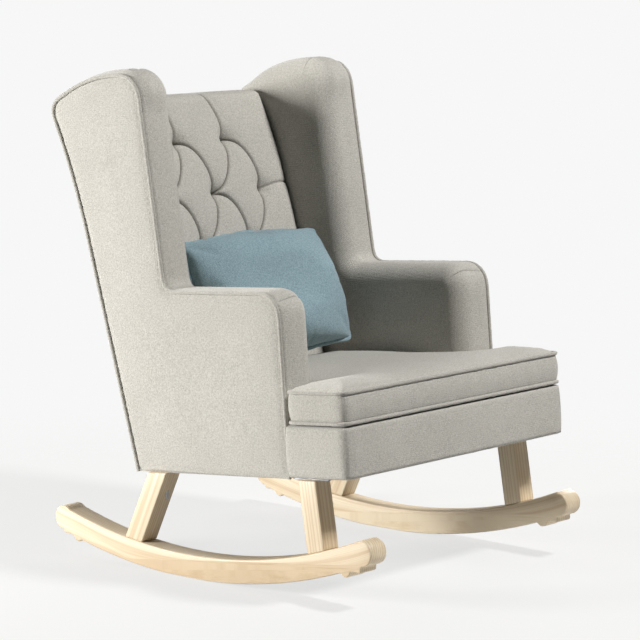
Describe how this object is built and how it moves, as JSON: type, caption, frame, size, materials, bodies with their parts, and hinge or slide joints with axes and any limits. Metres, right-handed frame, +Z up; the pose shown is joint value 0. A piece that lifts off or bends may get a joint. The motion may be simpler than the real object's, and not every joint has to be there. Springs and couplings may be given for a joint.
{
  "type": "rocking chair",
  "caption": "Wingback upholstered rocking chair with a tufted back, a loose T-shaped seat cushion and a lumbar pillow, on square legs and curved wooden runners.",
  "frame": {"origin": "middle of the chair's length and width, on the level that the runners rest on", "axes": "+Z up, the chair faces -Y, X runs across the chair"},
  "size_m": [0.74, 0.9301, 1.0695],
  "materials": {
    "pale_ash": "clear satin lacquer over pale ash",
    "frame_timber": "raw sawn timber",
    "grey_wool": "light warm grey wool-look upholstery cloth",
    "blue_linen": "blue linen",
    "dark_webbing": "dark woven webbing and lining cloth",
    "foam": "cushion foam",
    "fibre_fill": "white fibre filling",
    "zinc_steel": "zinc plated"
  },
  "bodies": {
    "chair": {"runner_left": "pale_ash", "runner_right": "pale_ash", "leg_front_left": "pale_ash", "leg_front_right": "pale_ash", "leg_rear_left": "pale_ash", "leg_rear_right": "pale_ash", "runner_dowels": "frame_timber", "leg_plates": "zinc_steel", "leg_bolts": "zinc_steel", "plate_screws": "zinc_steel", "frame_screws": "zinc_steel", "seat_rail_front": "frame_timber", "seat_rail_left": "frame_timber", "seat_rail_right": "frame_timber", "seat_rail_rear": "frame_timber", "return_rail_left": "frame_timber", "return_rail_right": "frame_timber", "corner_blocks": "frame_timber", "side_frame_left": "frame_timber", "side_frame_right": "frame_timber", "back_stile_left": "frame_timber", "back_stile_right": "frame_timber", "back_rail_top": "frame_timber", "back_rail_lower": "frame_timber", "seat_webbing_long": "dark_webbing", "seat_webbing_cross": "dark_webbing", "back_webbing": "dark_webbing", "seat_deck": "grey_wool", "front_rail_cover": "grey_wool", "outside_panel_left": "grey_wool", "outside_panel_right": "grey_wool", "side_welt_left": "grey_wool", "side_welt_right": "grey_wool", "border_band_left": "grey_wool", "border_band_right": "grey_wool", "inside_pad_left": "grey_wool", "inside_pad_right": "grey_wool", "back_pad": "grey_wool", "tuft_ties": "dark_webbing", "tuft_toggles": "dark_webbing", "outside_back": "grey_wool", "dust_cover": "dark_webbing"},
    "seat_cushion": {"cushion_core": "foam", "cushion_cover": "grey_wool", "cushion_welts": "grey_wool"},
    "pillow": {"pillow_insert": "fibre_fill", "pillow_cover": "blue_linen", "pillow_piping": "blue_linen"}
  },
  "joints": [
    {"name": "cushion_lift", "type": "slide", "parent": "chair", "child": "seat_cushion", "axis": [0, 0.0872, 0.9962], "range_m": [0, 0.3]},
    {"name": "pillow_lift", "type": "slide", "parent": "seat_cushion", "child": "pillow", "axis": [0, -0.6428, 0.766], "range_m": [0, 0.22]}
  ]
}
